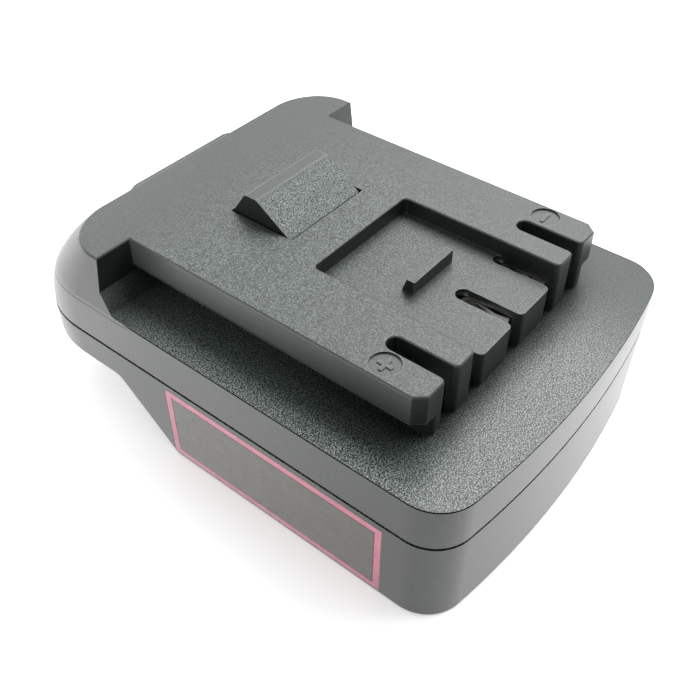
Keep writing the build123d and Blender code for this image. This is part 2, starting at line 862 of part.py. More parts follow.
def screw(x, y, seat, tip, shank_radius, head_radius, head_height):
    """A pan-head screw whose head sits against the seat height and whose tip ends at the tip height."""
    away = -1 if tip > seat else 1
    head_span = sorted((seat, seat + away * head_height))
    head = rod(x, y, head_span, head_radius)
    shank_span = sorted((seat + away * bite, tip))
    slot_floor = seat + away * head_height * (1 - recess_share)
    slot_span = sorted((slot_floor, seat + away * (head_height + overrun)))
    bar = head_radius * recess_share
    arm = head_radius * (1 - recess_share / 2)
    cross = block((x - arm, x + arm), (y - bar / 2, y + bar / 2), slot_span)
    cross += block((x - bar / 2, x + bar / 2), (y - arm, y + arm), slot_span)
    return head - cross + rod(x, y, shank_span, shank_radius)


def case_screws():
    """The four screws that join the shells."""
    sizes = (case_screw_shank_radius, case_screw_head_radius, case_screw_head_height)
    tip = lower_top_height + case_screw_bite_depth
    return Compound([screw(x, y, seat, tip, *sizes) for x, y, seat in case_screw_places()])


def board_screws():
    """The four screws that hold the contact board under the shelf."""
    sizes = (board_screw_shank_radius, board_screw_head_radius, board_screw_head_height)
    tip = board_top + board_screw_bite_depth
    return Compound([screw(x, y, board_height, tip, *sizes) for x, y in board_screw_places()])


def holder_screws():
    """The two screws that hold the blade holder to the receiver's ceiling."""
    sizes = (holder_screw_shank_radius, holder_screw_head_radius, holder_screw_head_height)
    y = receiver_front_y + holder_gap + holder_length / 2
    tip = receiver_height - holder_gap - holder_screw_depth
    places = [(side * holder_screw_offset, y) for side in (-1, 1)]
    return Compound([screw(x, y, receiver_top_height, tip, *sizes) for x, y in places])


def blade_places():
    """Name and centre of each blade, from plus side to minus side."""
    return [("blade_positive", -blade_offset), ("blade_signal", 0), ("blade_negative", blade_offset)]


def blade(x):
    """A flat blade that enters the pack, with a tail that turns up behind the receiver's wall."""
    holder_rear_y = receiver_front_y + holder_gap + holder_length
    tip_y = holder_rear_y + blade_reach
    tail_y = receiver_front_y - receiver_wall - tail_run
    top = blade_bottom_height + blade_height
    points = [
        (tip_y, blade_bottom_height + blade_tip_drop),
        (tip_y, top - blade_tip_drop),
        (tip_y - blade_tip_run, top),
        (tail_y + tail_post_run, top),
        (tail_y + tail_post_run, tail_top_height),
        (tail_y, tail_top_height),
        (tail_y, blade_bottom_height),
        (tip_y - blade_tip_run, blade_bottom_height),
    ]
    return side_extrusion(points, (x - blade_thickness / 2, x + blade_thickness / 2))


def blade_holder():
    """The plastic block that carries the blades inside the receiver."""
    y_low = receiver_front_y + holder_gap
    body = block(
        (-holder_width / 2, holder_width / 2), (y_low, y_low + holder_length),
        (holder_bottom_height, receiver_height - holder_gap)
    )
    spigot = block(
        (-spigot_width / 2, spigot_width / 2), (y_low - spigot_length, y_low + bite),
        (spigot_bottom_height, spigot_bottom_height + spigot_height)
    )
    holder = body + spigot
    y = y_low + holder_length / 2
    for side in (-1, 1):
        low = receiver_height - holder_gap - holder_screw_depth - bite
        holder -= rod(side * holder_screw_offset, y, (low, receiver_height), holder_screw_shank_radius)
    for _, x in blade_places():
        holder -= blade(x)
    return holder


def lead(x, radius, shift):
    """A soldered lead from a blade's tail up to the board's underside."""
    tail_y = receiver_front_y - receiver_wall - tail_run + tail_post_run / 2
    pad_y = board_front_y + lead_pad_inset
    points = [
        (x, tail_y, tail_top_height),
        (x, tail_y, tail_top_height + lead_rise_low),
        (x + shift, pad_y, board_height - lead_rise_high),
        (x + shift, pad_y, board_height),
    ]
    line = [Vector(*point) for point in points]
    radii = []
    for before, corner, after in zip(line, line[1:], line[2:]):
        turn = math.radians((corner - before).get_angle(after - corner))
        shorter = min((corner - before).length, (after - corner).length)
        radii.append(lead_bend_share * shorter / math.tan(turn / 2))
    path = FilletPolyline(*points, radius=radii)
    section = Plane(path @ 0, z_dir=path % 0) * Circle(radius)
    tube = sweep(section, path=path)
    expected = math.pi * radius**2 * path.length
    print("lead at x", x, "length", round(path.length, 2), "bend radii", [round(r, 2) for r in radii])
    print("  volume", round(tube.volume, 3), "section times length", round(expected, 3))
    return tube


def side_label():
    """The printed film on the plus side."""
    y = front_y + label_front_setback
    z_span = (label_bottom_height, label_bottom_height + label_height)
    return block((-half_width, label_thickness - half_width), (y, y + label_length), z_span)


def contact_clips():
    """Every contact clip under its node name."""
    names = ["clip_positive", "clip_signal_left", "clip_signal_middle", "clip_signal_right", "clip_negative"]
    clips = {}
    for name, (x, _, _, width) in zip(names, terminal_slots()):
        clips[name] = contact_clip(x, width)
    return clips


def all_parts():
    """Every sub-part under its node name."""
    parts = {
        "upper_shell": upper_shell(),
        "lower_shell": lower_shell(),
        "release_latch": release_latch(),
        "latch_spring_left": latch_spring(-1),
        "latch_spring_right": latch_spring(1),
        "contact_board": contact_board(),
        "board_resistors": board_resistors(),
        "board_screws": board_screws(),
        "case_screws": case_screws(),
        "blade_holder": blade_holder(),
        "holder_screws": holder_screws(),
        "side_label": side_label(),
        "lead_positive": lead(-blade_offset, power_lead_radius, -power_lead_shift),
        "lead_signal": lead(0, signal_lead_radius, 0),
        "lead_negative": lead(blade_offset, power_lead_radius, power_lead_shift),
    }
    parts.update(contact_clips())
    for name, x in blade_places():
        parts[name] = blade(x)
    return parts


for node, part in all_parts().items():
    export_step(part, f"parts/{node}.step")
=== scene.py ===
"""Looks for the tool battery adapter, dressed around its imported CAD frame."""
import math

import bmesh
import bpy
from mathutils import Matrix, Vector


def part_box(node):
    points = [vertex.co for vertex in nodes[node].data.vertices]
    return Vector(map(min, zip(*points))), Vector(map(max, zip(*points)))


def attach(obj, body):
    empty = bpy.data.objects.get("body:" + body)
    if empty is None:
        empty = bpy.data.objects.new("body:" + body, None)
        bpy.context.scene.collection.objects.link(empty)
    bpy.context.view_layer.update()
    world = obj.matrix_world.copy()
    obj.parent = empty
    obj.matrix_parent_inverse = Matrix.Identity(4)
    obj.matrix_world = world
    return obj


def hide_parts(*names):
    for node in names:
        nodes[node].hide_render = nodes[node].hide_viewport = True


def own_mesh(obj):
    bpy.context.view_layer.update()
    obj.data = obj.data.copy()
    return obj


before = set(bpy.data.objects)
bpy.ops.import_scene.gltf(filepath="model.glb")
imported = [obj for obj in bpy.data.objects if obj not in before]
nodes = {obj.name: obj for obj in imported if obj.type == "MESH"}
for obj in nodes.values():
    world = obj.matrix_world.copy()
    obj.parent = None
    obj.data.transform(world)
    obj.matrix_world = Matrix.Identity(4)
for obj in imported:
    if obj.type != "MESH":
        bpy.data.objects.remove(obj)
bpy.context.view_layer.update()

MM = 0.001

# The photograph's camera, in millimetres and degrees; its near and far limits of sight in metres
camera_place = (-109.62, -86.64, 143.24)
camera_azimuth = -52.066
camera_elevation = 44.011
camera_roll = 0.641
camera_lens = 45.73
camera_sensor = 36.0
camera_sight = (0.01, 20.0)

# Soft boxes: direction from +X, elevation, distance, width, height (degrees, metres) and power in watts
room_fill = 0.02
lamps = {
    "rear_box": (38.0, 42.0, 1.1, 0.9, 0.8, 3.1),
    "rear_low_box": (80.0, 18.0, 1.1, 0.9, 0.5, 6.0),
    "right_high_box": (-40.0, 43.0, 1.1, 0.6, 0.5, 4.8),
    "right_box": (8.0, 54.0, 1.1, 0.7, 0.7, 9.8),
    "left_high_box": (165.0, 42.0, 1.1, 0.7, 0.7, 1.8),
}

# Floor: half width in metres, how white it looks in the open and under the part, reach of that shade in
# millimetres, how bright it is mirrored, and the spot in millimetres round which it is mirrored darker
floor_reach = 3.0
floor_colour = (0.93, 0.93, 0.92, 1)
floor_roughness = 0.9
floor_white = 0.86
floor_shaded = 0.42
shade_reach = 25.0
shade_openness = (0.30, 0.92)
floor_mirrored = 1.8
dim_place = (-62.0, -66.0, 0.0)
dim_reach = (15.0, 90.0)
dim_share = 0.66

# Colours
black_plastic = (0.022, 0.0285, 0.0275)
# Pale colour of the painted highlight along outer edges
edge_highlight_pale = (0.17, 0.185, 0.18)
# Pale of the rails' rubbing, partly painted light
rail_pale_and_light = (0.15, 0.158, 0.155)
# Colour of the painted shade lines round the shells
shade_line_black = (0.001, 0.0012, 0.0012)
holder_black = (0.02, 0.02, 0.021)
label_grey = (0.125, 0.120, 0.102)
label_pink = (1.0, 0.26, 0.40)
# Dark of the printed line, also the painted shade at the cut edge
label_line_and_edge_shade = (0.10, 0.012, 0.03)
board_green = (0.008, 0.075, 0.028)
trace_green = (0.02, 0.16, 0.055)
fibre_dark = (0.30, 0.26, 0.10)
fibre_light = (0.45, 0.40, 0.20)
steel_grey = (0.55, 0.56, 0.57)
zinc_grey = (0.62, 0.63, 0.62)
oxide_black = (0.022, 0.022, 0.024)
nickel_white = (0.93, 0.92, 0.89)
solder_grey = (0.66, 0.67, 0.68)
ceramic_black = (0.018, 0.018, 0.02)
lead_red = (0.42, 0.012, 0.01)
lead_yellow = (0.72, 0.46, 0.02)
lead_black = (0.018, 0.018, 0.018)

# Plastic: roughness and colour of upright faces against faces that look up, and how the grain is mixed
top_roughness = 0.46
side_roughness = 0.38
side_share = 0.55
upward_range = (0.35, 0.85)
plastic_ior = 1.55
plain_shine = 0.5
grain_shine = (0.18, 1.0)
grain_detail = (1.0, 0.5)
grain_range = (0.42, 0.70)
grain_roughness = 0.30
coarse_size = 1.6
coarse_share = 0.2
least_grain = 0.04
speckle_dark = 0.3
cloud_size = 14.0
cloud_range = (0.92, 1.08)

# Fades along one axis: start and end in millimetres, then the share at the start and at the end
deck_rise = (34.0, 37.0)
deck_grain_fade = (-38.0, 12.0, 0.13, 0.36)
front_fade = (-46.0, -36.0, 1.0, 0.0)
middle_grain = 0.45
left_grain_fade = (-32.0, -20.0, 1.0, middle_grain)
right_grain_fade = (0.0, 32.0, 1.0, 0.14)
rear_grain_fade = (12.0, 34.0, 1.0, 0.08)
ridge_softness = 1.5
ridge_grain = (0.62, 0.12)

# Polish of the shelf at its front and on its right, where it is below nought because the shelf is duller
polish_fade = (5.0, 32.0)
front_polish = 0.08
right_polish = -0.09

# Pale rubbing on the sides of the rails, stronger to the rear, where it is also painted light against the
# horn's shade
rail_inner_fade = (29.2, 29.3)
rail_outer_fade = (29.6, 29.7, 1.0, 0.0)
rail_height_fade = (35.6, 36.6)
rail_length_fade = (-34.0, 6.0, 0.12, 1.0)
rail_streaks = (1.0, 0.08, 1.0)

# Painted shade lines round the shells, along the shelf's edge and in the seam: low and high edge and
# softness, in millimetres
shelf_line = (30.38, 30.70, 0.03)
rear_line = (29.66, 29.82, 0.06)
seam_line = (20.66, 20.94, 0.05)
line_step_fade = (20.0, 23.0, 1.0, 0.0)
rear_line_share = 0.8
line_roughness = 0.5

# Painted shade on the shelf beside the front of the rails, and on the fingers' front faces, which get less
# shine as painted shade
shelter_reach = 16.0
shelter_openness = (0.40, 0.85)
shelter_share = 0.25
shelter_fade = (-38.0, 6.0, 1.0, 0.0)
finger_shine = 0.45
finger_facing = (-0.65, -0.3)
finger_height_fade = (30.8, 31.4)

# Outer edges: rounding and a painted pale highlight in the material, then the modifiers that round them in
# the mesh, in millimetres and degrees
edge_radius = 0.16
edge_width = 0.30
edge_openness = (0.55, 0.92)
edge_height_fade = (31.5, 34.0)
shell_bevel = 0.16
clip_bevel = 0.14
bevel_segments = 2
sharp_angle = 32.0
weld_gap = 0.002
flat_angle = 0.05

# Metal: how its streaks are drawn out, its clouds and relief as shares of the streaks, its colours' darker
# share, the spread of its roughness, and how much like metal it looks where a painted highlight makes it pale
streak_squeeze = 0.08
streak_detail = (3.0, 0.65)
metal_clouds = 12
metal_relief = 0.003
metal_dark = 0.88
metal_roughness = (0.7, 1.4)
glint_metallic = 0.45

# Insulation of the leads
cover_dark = 0.75
cover_clouds = 2.5
cover_roughness = (0.34, 0.5)
cover_relief = (0.5, 0.01)

# Circuit board: size of its tracks in millimetres, gap between them, and roughness of edge and face
track_size = 6.0
track_gap = 0.12
track_relief = 0.03
board_roughness = (0.75, 0.28)

# Label: where its painted shade at the cut edge, border and line end, in millimetres from its outline, and
# how uneven they are
label_edge_shade = (0.10, 0.22)
label_border_end = (1.45, 1.55)
label_line_end = (1.72, 1.82)
label_wander = 0.12
label_pink_dark = 0.86
label_grey_light = 1.15
label_shine = (0.9, 0.5)
label_roughness = (0.32, 0.44)
label_relief = (3.0, 0.02)
label_ior = 1.48

# Places repeated from the part's source, in millimetres
case_screw_places = [(-29.5, -46.0, 10.0), (29.5, -46.0, 10.0), (-29.0, 35.5, 16.3), (29.0, 35.5, 16.3)]
board_screw_places = [(x, y, 24.0) for x in (-29.5, 29.5) for y in (-33.8, -12.1)]
holder_screw_places = [(-18.6, -37.05, 15.3), (18.6, -37.05, 15.3)]
chip_places = [(4.0 * step, -13.2, 25.6) for step in range(-2, 3)]
chip_size = (3.2, 1.6, 0.6)
chip_cap = 0.45
chip_step = 0.03
chip_rounding = 0.05
spring_places = {"latch_spring_left": (-10.0, 30.7), "latch_spring_right": (10.0, 30.7)}
spring_seat = 20.1
spring_top = 37.25
spring_turns = 6.0
spring_radius = 2.6
spring_wire = 0.4
spring_end_closing = 0.68
spring_steps = 40
spring_sides = 14
lead_runs = {
    "lead_positive": (-14.0, -17.0, 1.2, "red_lead"),
    "lead_signal": (0.0, 0.0, 0.7, "yellow_lead"),
    "lead_negative": (14.0, 17.0, 1.2, "black_lead"),
}
lead_low_y = -44.7
lead_high_y = -33.0
lead_heights = (13.6, 18.0, 19.6, 24.0)
lead_roundness = 6
lead_smoothness = 24
contacts = ("positive", "signal_left", "signal_middle", "signal_right", "negative")

# Screws: head radius and height, shank radius, length and pitch in millimetres, then the sets of them with
# their CAD node, places, finish and whether their tips point down
long_case_screw = (2.7, 2.0, 1.45, 16.8, 1.1)
short_case_screw = (2.7, 2.0, 1.45, 10.5, 1.1)
board_screw = (2.0, 1.3, 1.0, 5.0, 0.7)
holder_screw = (2.0, 1.4, 1.0, 7.35, 0.7)
screw_sets = {
    "case_screws_front": ("case_screws", long_case_screw, case_screw_places[:2], "black_screw", False),
    "case_screws_rear": ("case_screws", short_case_screw, case_screw_places[2:], "black_screw", False),
    "board_screw_set": ("board_screws", board_screw, board_screw_places, "zinc_screw", False),
    "holder_screw_set": ("holder_screws", holder_screw, holder_screw_places, "zinc_screw", True),
}
screw_sides = 48
head_rings = 14
head_dome = 0.42
head_rim = 0.12
head_taper = 0.94
recess_depth = 0.5
recess_arm = (0.19, 0.07)
recess_reach = (0.62, 0.16)
thread_root = 0.76
thread_rows = 6
tip_taper = (1.5, 0.15)
merge_gap = 0.0005

# Solder joints: radius and height in millimetres, and their outline as shares of both
low_joint = (1.7, 1.5)
high_joint = (1.9, 1.3)
joint_outline = [(1.0, 0.0), (0.82, 0.18), (0.6, 0.45), (0.42, 0.8), (0.22, 1.0), (0.0, 1.05)]
joint_sides = 20


def add(tree, kind, inputs=(), **settings):
    """Adds a node, with its inputs as numbers, colours or other nodes' sockets."""
    made = tree.nodes.new(kind)
    for name, value in settings.items():
        setattr(made, name, value)
    for name, value in dict(inputs).items():
        socket = made.inputs[name]
        if isinstance(value, bpy.types.NodeSocket):
            tree.links.new(value, socket)
        else:
            socket.default_value = value
    return made


def calc(tree, operation, *values):
    """A Math node's result."""
    return add(tree, "ShaderNodeMath", enumerate(values), operation=operation).outputs[0]


def product(tree, first, *others):
    """The values multiplied together."""
    for value in others:
        first = calc(tree, "MULTIPLY", first, value)
    return first


def left_over(tree, share):
    """What a share leaves of one."""
    return calc(tree, "SUBTRACT", 1.0, share)


def ramp(tree, value, low, high, to_low=0.0, to_high=1.0):
    """A value carried smoothly from one range to another."""
    inputs = {"Value": value, "From Min": low, "From Max": high, "To Min": to_low, "To Max": to_high}
    return add(tree, "ShaderNodeMapRange", inputs, interpolation_type="SMOOTHSTEP").outputs[0]


def fade(tree, place, start, end, to_start=0.0, to_end=1.0):
    """A ramp along one axis between two places in millimetres."""
    return ramp(tree, place, start * MM, end * MM, to_start, to_end)


def blend_colour(tree, share, first, second, mode="MIX"):
    """Two colours mixed by a share."""
    mix = tree.nodes.new("ShaderNodeMix")
    mix.data_type = "RGBA"
    mix.blend_type = mode
    for socket, value in ((mix.inputs[0], share), (mix.inputs[6], first), (mix.inputs[7], second)):
        if isinstance(value, bpy.types.NodeSocket):
            tree.links.new(value, socket)
        elif isinstance(value, (int, float)):
            socket.default_value = value
        else:
            socket.default_value = (*value, 1.0)
    return mix.outputs[2]


def blend_value(tree, share, first, second):
    """Two numbers mixed by a share."""
    return add(tree, "ShaderNodeMix", {0: share, 2: first, 3: second}).outputs[0]


def scaled(colour, share):
    """A colour with its channels times a number."""
    return tuple(channel * share for channel in colour)


def dimmed(tree, colour, share):
    """A colour with its channels times a pattern."""
    grey = add(tree, "ShaderNodeCombineXYZ", {0: share, 1: share, 2: share}).outputs[0]
    return blend_colour(tree, 1.0, colour, grey, "MULTIPLY")


def noise(tree, place, size_mm, detail=2.0, roughness=0.55):
    """Soft random pattern whose patches have about the given size."""
    inputs = {"Vector": place, "Scale": 1 / (size_mm * MM), "Detail": detail, "Roughness": roughness}
    return add(tree, "ShaderNodeTexNoise", inputs).outputs[0]


def patches(tree, place, size_mm, low=0.0, high=1.0, detail=2.0, spread=0.2):
    """Soft random patches between two values."""
    return ramp(tree, noise(tree, place, size_mm, detail), 0.5 - spread, 0.5 + spread, low, high)


def openness(tree, reach_mm, **settings):
    """One where nothing stands near a place, less towards corners and under overhangs."""
    return add(tree, "ShaderNodeAmbientOcclusion", {"Distance": reach_mm * MM}, **settings).outputs["AO"]


def start_material(name):
    """A new material's tree, its surface shader and the object's own coordinates."""
    material = bpy.data.materials.new(name)
    material.use_nodes = True
    tree = material.node_tree
    tree.nodes.clear()
    surface = add(tree, "ShaderNodeBsdfPrincipled")
    add(tree, "ShaderNodeOutputMaterial", {"Surface": surface.outputs[0]})
    coordinates = add(tree, "ShaderNodeTexCoord")
    return material, tree, surface, coordinates


def feed(tree, surface, patterns):
    """Links patterns to the surface shader's inputs of the same names."""
    for name, pattern in patterns.items():
        tree.links.new(pattern, surface.inputs[name])


def emboss(tree, surface, height, depth, strength=1.0, **base):
    """Raises the surface by a pattern, up to a depth in metres."""
    inputs = {"Height": height, "Distance": depth, "Strength": strength, **base}
    feed(tree, surface, {"Normal": add(tree, "ShaderNodeBump", inputs).outputs[0]})


def dark_line(tree, height, low, high, soft):
    """One between two heights in millimetres, with soft ends."""
    above = fade(tree, height, low - soft, low + soft)
    return product(tree, above, fade(tree, height, high - soft, high + soft, 1.0, 0.0))


def painted_shade_lines(tree, axes):
    """Painted shade lines round the shells: the shelf's edge, which steps down behind the rails, and the
    seam.
    """
    in_front = fade(tree, axes[1], *line_step_fade)
    upper = product(tree, dark_line(tree, axes[2], *shelf_line), in_front)
    behind = product(tree, dark_line(tree, axes[2], *rear_line), left_over(tree, in_front), rear_line_share)
    return calc(tree, "MAXIMUM", calc(tree, "MAXIMUM", upper, behind), dark_line(tree, axes[2], *seam_line))


def grain_left(tree, axes, on_deck, at_front):
    """Share of the grain that tools have left: least on the deck, to the right and to the rear."""
    on_left = blend_value(tree, at_front, fade(tree, axes[0], *left_grain_fade), middle_grain)
    return product(
        tree,
        blend_value(tree, on_deck, 1.0, fade(tree, axes[1], *deck_grain_fade)),
        blend_value(tree, on_deck, on_left, 1.0),
        fade(tree, axes[0], *right_grain_fade),
        fade(tree, axes[1], *rear_grain_fade),
    )


def rail_rub_and_light(tree, place, axes, upward):
    """Streaky rubbing on the outer sides of the rails, stronger to the rear, partly painted light that lifts
    the rear out of the horn's shade.
    """
    beside = calc(tree, "ABSOLUTE", axes[0])
    streaky = add(tree, "ShaderNodeMapping", {"Vector": place, "Scale": rail_streaks}).outputs[0]
    return product(
        tree,
        fade(tree, beside, *rail_inner_fade),
        fade(tree, beside, *rail_outer_fade),
        fade(tree, axes[2], *rail_height_fade),
        fade(tree, axes[1], *rail_length_fade),
        left_over(tree, upward),
        patches(tree, streaky, 0.5, 0.75, 1.0, spread=0.3),
    )


def painted_edge_highlight(tree, place, axes):
    """A painted highlight, pale and uneven, on the outer edges of the deck, the fingers and the latch."""
    within = openness(tree, edge_width, samples=6, inside=True, only_local=True)
    return product(
        tree,
        ramp(tree, within, *edge_openness, 1.0, 0.0),
        fade(tree, axes[2], *edge_height_fade),
        patches(tree, place, 2.2, 0.45, 1.0, detail=3.0),
    )


def moulded_plastic(name, colour, size, depth, contrast, worn_and_shaded=False, ridge_y=None, highlight_edges=False):
    """Spark-eroded plastic: a dense fine grain on faces that look up, satin on the sides.

    The grain's size and depth are in millimetres. With wear and shade set the grain fades as tools have
    left it, the rails are rubbed pale, partly as painted light, the shells carry painted shade lines, and
    painted shade darkens the shelf beside the rails and the fingers' front faces. Behind ridge_y, in
    millimetres, the grain nearly ends. Outer edges are rounded by a hair and, with edge highlights set,
    carry a painted pale highlight.
    """
    material, tree, surface, coordinates = start_material(name)
    place = coordinates.outputs["Object"]
    axes = add(tree, "ShaderNodeSeparateXYZ", {0: place}).outputs
    facing = add(tree, "ShaderNodeSeparateXYZ", {0: coordinates.outputs["Normal"]}).outputs
    upward = ramp(tree, facing[2], *upward_range)
    strength = upward
    if worn_and_shaded:
        on_deck = fade(tree, axes[2], *deck_rise)
        on_shelf = product(tree, upward, left_over(tree, on_deck))
        at_front = fade(tree, axes[1], *front_fade)
        strength = product(tree, strength, grain_left(tree, axes, on_deck, at_front))
    if ridge_y is not None:
        to_ridge = fade(tree, axes[1], ridge_y - ridge_softness, ridge_y, *ridge_grain)
        strength = product(tree, strength, to_ridge)
    strength = calc(tree, "MULTIPLY_ADD", strength, 1.0 - least_grain, least_grain)

    coarse = noise(tree, place, size * coarse_size, *grain_detail)
    fine = noise(tree, place, size, *grain_detail)
    grain = blend_value(tree, coarse_share, ramp(tree, fine, *grain_range), ramp(tree, coarse, *grain_range))
    ground = dimmed(tree, colour, patches(tree, place, cloud_size, *cloud_range))
    ground = blend_colour(tree, upward, scaled(colour, side_share), ground)
    speckle = blend_colour(tree, grain, scaled(colour, speckle_dark), scaled(colour, contrast))
    shade = blend_colour(tree, strength, ground, speckle)
    polish = product(tree, calc(tree, "SUBTRACT", grain, 0.5), strength, grain_roughness)
    dullness = calc(tree, "SUBTRACT", ramp(tree, upward, 0.0, 1.0, side_roughness, top_roughness), polish)
    glint = blend_value(tree, strength, plain_shine, ramp(tree, grain, 0.0, grain_range[1], *grain_shine))

    if worn_and_shaded:
        to_right = fade(tree, axes[0], *polish_fade)
        shelf_polish = blend_value(tree, to_right, product(tree, at_front, front_polish), right_polish)
        dullness = calc(tree, "SUBTRACT", dullness, product(tree, shelf_polish, on_shelf))
        # Pale rubbing on the rails, partly painted light against the horn's shade
        shade = blend_colour(tree, rail_rub_and_light(tree, place, axes, upward), shade, rail_pale_and_light)
        # Painted shade along the shelf's edge and in the seam, duller and with less shine
        line = painted_shade_lines(tree, axes)
        shade = blend_colour(tree, line, shade, shade_line_black)
        dullness = calc(tree, "MULTIPLY_ADD", line, line_roughness, dullness)
        # Painted shade: the shelf beside the front of the rails is darkened where the rails overhang it
        open_shelf = openness(tree, shelter_reach, samples=6, only_local=True)
        near_rail = product(tree, on_shelf, fade(tree, axes[1], *shelter_fade))
        painted_shelter_shade = ramp(tree, open_shelf, *shelter_openness, shelter_share, 1.0)
        painted_shelter_shade = blend_value(tree, near_rail, 1.0, painted_shelter_shade)
        shade = dimmed(tree, shade, painted_shelter_shade)
        # Painted shade: the fingers' front faces get less shine
        to_front = ramp(tree, facing[1], *finger_facing, 1.0, 0.0)
        finger_face = product(tree, to_front, fade(tree, axes[2], *finger_height_fade))
        finger_glint_shade = blend_value(tree, finger_face, 1.0, finger_shine)
        glint = product(tree, glint, left_over(tree, line), finger_glint_shade, painted_shelter_shade)
    if highlight_edges:
        # Painted highlight: a pale colour along the outer edges
        shade = blend_colour(tree, painted_edge_highlight(tree, place, axes), shade, edge_highlight_pale)

    surface.inputs["IOR"].default_value = plastic_ior
    feed(tree, surface, {"Base Color": shade, "Roughness": dullness, "Specular IOR Level": glint})
    rounded = add(tree, "ShaderNodeBevel", {"Radius": edge_radius * MM}, samples=4).outputs[0]
    height = blend_value(tree, 0.5, coarse, fine)
    emboss(tree, surface, height, product(tree, strength, depth * MM), Normal=rounded)
    return material


def metal(name, colour, roughness, streak_size, streak_axis, metallic=1.0, painted_glint_y=None):
    """Plated or drawn metal with fine streaks along one axis and a few dull clouds.

    The glint places are a pair of places along Y in millimetres: in front of the first the plating is made
    less like metal, so that it shows white as a painted highlight, and behind the second it still looks like
    bare metal.
    """
    material, tree, surface, coordinates = start_material(name)
    place = coordinates.outputs["Object"]
    squeeze = [1.0, 1.0, 1.0]
    squeeze[streak_axis] = streak_squeeze
    drawn = add(tree, "ShaderNodeMapping", {"Vector": place, "Scale": squeeze}).outputs[0]
    streaks = noise(tree, drawn, streak_size, *streak_detail)
    clouds = patches(tree, place, streak_size * metal_clouds)
    shade = blend_colour(tree, clouds, scaled(colour, metal_dark), colour)
    dullness = ramp(tree, streaks, 0.25, 0.75, *scaled(metal_roughness, roughness))
    feed(tree, surface, {"Base Color": shade, "Roughness": dullness})
    surface.inputs["Metallic"].default_value = metallic
    # Painted highlight: less like metal in front, so the pale plating shows white
    if painted_glint_y:
        along = add(tree, "ShaderNodeSeparateXYZ", {0: place}).outputs[1]
        feed(tree, surface, {"Metallic": fade(tree, along, *painted_glint_y, glint_metallic, metallic)})
    emboss(tree, surface, streaks, streak_size * metal_relief * MM)
    return material


def wire_cover(name, colour):
    """Soft insulation: slightly uneven, with a dull sheen."""
    material, tree, surface, coordinates = start_material(name)
    place = coordinates.outputs["Object"]
    shade = blend_colour(tree, patches(tree, place, cover_clouds), scaled(colour, cover_dark), colour)
    feed(tree, surface, {"Base Color": shade, "Roughness": patches(tree, place, 0.4, *cover_roughness)})
    emboss(tree, surface, noise(tree, place, cover_relief[0]), cover_relief[1] * MM)
    return material


def circuit_board(name):
    """Green lacquer over copper tracks on glass fibre, with bare edges."""
    material, tree, surface, coordinates = start_material(name)
    place = coordinates.outputs["Object"]
    inputs = {
        "Vector": place, "Scale": 1 / (track_size * MM), "Mortar Size": track_gap, "Mortar Smooth": 0.0,
        "Color1": (0, 0, 0, 1), "Color2": (0, 0, 0, 1), "Mortar": (1, 1, 1, 1),
    }
    tracks = add(tree, "ShaderNodeTexBrick", inputs, offset=0.35, squash=1.4)
    green = blend_colour(tree, tracks.outputs[0], board_green, trace_green)
    facing = add(tree, "ShaderNodeSeparateXYZ", {0: coordinates.outputs["Normal"]}).outputs
    flat = ramp(tree, calc(tree, "ABSOLUTE", facing[2]), 0.5, 0.9)
    fibre = blend_colour(tree, noise(tree, place, 0.3, 3.0), fibre_dark, fibre_light)
    shade = blend_colour(tree, flat, fibre, green)
    feed(tree, surface, {"Base Color": shade, "Roughness": ramp(tree, flat, 0.0, 1.0, *board_roughness)})
    emboss(tree, surface, tracks.outputs[1], track_relief * MM, strength=0.6)
    return material


def label_film(name):
    """Printed film: a pink border, a fine dark line inside it, a plain grey field, and painted shade along
    its cut edge.
    """
    material, tree, surface, coordinates = start_material(name)
    place = coordinates.outputs["Object"]
    axes = add(tree, "ShaderNodeSeparateXYZ", {0: place}).outputs
    low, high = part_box("side_label")
    insets = []
    for axis, start, end in ((1, low.y, high.y), (2, low.z, high.z)):
        away = calc(tree, "ABSOLUTE", calc(tree, "SUBTRACT", axes[axis], (start + end) / 2))
        insets.append(calc(tree, "SUBTRACT", (end - start) / 2, away))
    wander = calc(tree, "SUBTRACT", noise(tree, place, 0.35), 0.5)
    inset = calc(tree, "MULTIPLY_ADD", wander, label_wander * MM, calc(tree, "MINIMUM", *insets))
    inside_edge_shade = fade(tree, inset, *label_edge_shade)
    inside_border = fade(tree, inset, *label_border_end)
    inside_line = fade(tree, inset, *label_line_end)
    pink = blend_colour(tree, patches(tree, place, 6.0), label_pink, scaled(label_pink, label_pink_dark))
    flecks = patches(tree, place, 0.5, detail=3.0)
    field = blend_colour(tree, flecks, label_grey, scaled(label_grey, label_grey_light))
    shade = blend_colour(tree, inside_border, pink, label_line_and_edge_shade)
    shade = blend_colour(tree, inside_line, shade, field)
    # Painted shade: a dark hairline along the film's cut edge
    shade = blend_colour(tree, inside_edge_shade, label_line_and_edge_shade, shade)
    feed(tree, surface, {
        "Base Color": shade,
        "Specular IOR Level": blend_value(tree, inside_border, *label_shine),
        "Roughness": patches(tree, place, 1.2, *label_roughness),
    })
    surface.inputs["IOR"].default_value = label_ior
    emboss(tree, surface, noise(tree, place, label_relief[0]), label_relief[1] * MM)
    return material


